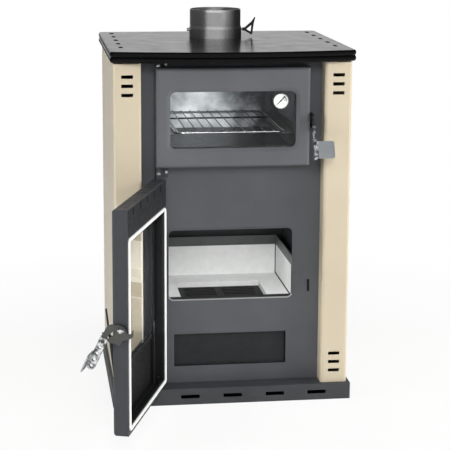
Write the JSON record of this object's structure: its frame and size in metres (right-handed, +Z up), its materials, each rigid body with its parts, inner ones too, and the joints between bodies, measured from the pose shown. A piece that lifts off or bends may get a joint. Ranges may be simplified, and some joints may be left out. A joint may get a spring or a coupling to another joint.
{
  "type": "wood-fired boiler stove",
  "caption": "Free-standing wood-fired boiler stove: glazed oven over a water-jacketed firebox, side latches, ash drawer, steel hob and a flue collar with a damper.",
  "frame": {"origin": "middle of the plinth's foot, on the floor", "axes": "+Z up, +X to the right seen from the front, the front with the doors faces -Y"},
  "size_m": [0.7504, 0.9634, 1.0397],
  "materials": {
    "cream_paint": "satin",
    "side_paint": "satin",
    "panel_paint": "matte",
    "door_paint": "satin",
    "plinth_paint": "matte",
    "hob_paint": "gloss",
    "black_sheet": "matte",
    "boiler_plate": "matte",
    "cast_grate": "matte",
    "flue_steel": "satin",
    "oven_steel": "satin",
    "latch_steel": "satin",
    "latch_chrome": "polished",
    "screw_steel": "satin",
    "rack_wire": "polished",
    "fire_brick": "matte",
    "rope_seal": "matte",
    "door_glass": "gloss",
    "dial_white": "matte",
    "needle_black": "matte"
  },
  "bodies": {
    "stove": {"base_pan": "black_sheet", "plinth": "plinth_paint", "front_panel": "panel_paint", "column_left": "cream_paint", "column_right": "cream_paint", "side_panel_left": "side_paint", "side_panel_right": "side_paint", "back_panel": "plinth_paint", "top_frame": "black_sheet", "hob_plate": "hob_paint", "hob_rim": "hob_paint", "flue_collar": "flue_steel", "flue_casing": "black_sheet", "boiler_vessel": "boiler_plate", "boiler_inner_wall": "boiler_plate", "flow_socket": "flue_steel", "return_socket": "flue_steel", "oven_box": "oven_steel", "oven_runners": "oven_steel", "baffle_plate": "boiler_plate", "firebrick_back": "fire_brick", "firebrick_left": "fire_brick", "firebrick_right": "fire_brick", "brick_retainer": "panel_paint", "hearth": "fire_brick", "grate": "cast_grate", "ash_box": "black_sheet", "ash_skirt": "black_sheet", "hinge_bracket_top": "plinth_paint", "hinge_bracket_middle": "plinth_paint", "hinge_bracket_bottom": "plinth_paint", "hinge_screws": "screw_steel", "panel_screws": "screw_steel"},
    "fire_door": {"fire_door_shell": "door_paint", "fire_door_air_cover": "black_sheet", "fire_door_glass": "door_glass", "fire_door_glass_clips": "black_sheet", "fire_door_screws": "screw_steel", "fire_door_rope": "rope_seal", "fire_door_guard": "black_sheet", "fire_latch_bolt": "latch_chrome"},
    "fire_latch": {"fire_latch_hook": "latch_steel", "fire_latch_lever": "latch_steel", "fire_latch_grip": "latch_chrome"},
    "oven_door": {"oven_door_shell": "door_paint", "oven_door_frame": "oven_steel", "oven_door_glass": "door_glass", "oven_door_rope": "rope_seal", "thermometer_case": "latch_chrome", "thermometer_dial": "dial_white", "thermometer_lens": "door_glass", "oven_latch_bolt": "latch_chrome"},
    "oven_latch": {"oven_latch_hook": "latch_steel", "oven_latch_lever": "latch_steel", "oven_latch_grip": "latch_chrome"},
    "needle": {"thermometer_needle": "needle_black"},
    "rack": {"oven_rack": "rack_wire"},
    "ash_drawer": {"ash_pan": "black_sheet"},
    "damper": {"damper_disc": "flue_steel", "damper_handle": "plinth_paint"}
  },
  "joints": [
    {"name": "fire_door_hinge", "type": "hinge", "parent": "stove", "child": "fire_door", "pos_m": [-0.198, -0.247, 0.331], "axis": [0, 0, -1], "range_deg": [-108.5, 12]},
    {"name": "fire_latch_pivot", "type": "hinge", "parent": "fire_door", "child": "fire_latch", "pos_m": [-0.32478, -0.63692, 0.322], "axis": [0.3173, 0.9483, 0], "range_deg": [-15, 50]},
    {"name": "oven_door_hinge", "type": "hinge", "parent": "stove", "child": "oven_door", "pos_m": [-0.198, -0.247, 0.78], "axis": [0, 0, -1], "range_deg": [0, 110]},
    {"name": "oven_latch_pivot", "type": "hinge", "parent": "oven_door", "child": "oven_latch", "pos_m": [0.212, -0.2435, 0.778], "axis": [-1, 0, 0], "range_deg": [-15, 50]},
    {"name": "rack_slide", "type": "slide", "parent": "stove", "child": "rack", "axis": [0, -1, 0], "range_m": [0, 0.018]},
    {"name": "ash_drawer_slide", "type": "slide", "parent": "stove", "child": "ash_drawer", "axis": [0, -1, 0], "range_m": [0, 0.22]},
    {"name": "damper_spindle", "type": "hinge", "parent": "stove", "child": "damper", "pos_m": [0, 0.126, 0.981], "axis": [1, 0, 0], "range_deg": [0, 90]},
    {"name": "needle_spindle", "type": "hinge", "parent": "oven_door", "child": "needle", "pos_m": [0.1255, -0.264, 0.8255], "axis": [0, 1, 0], "range_deg": [0, 270]}
  ]
}
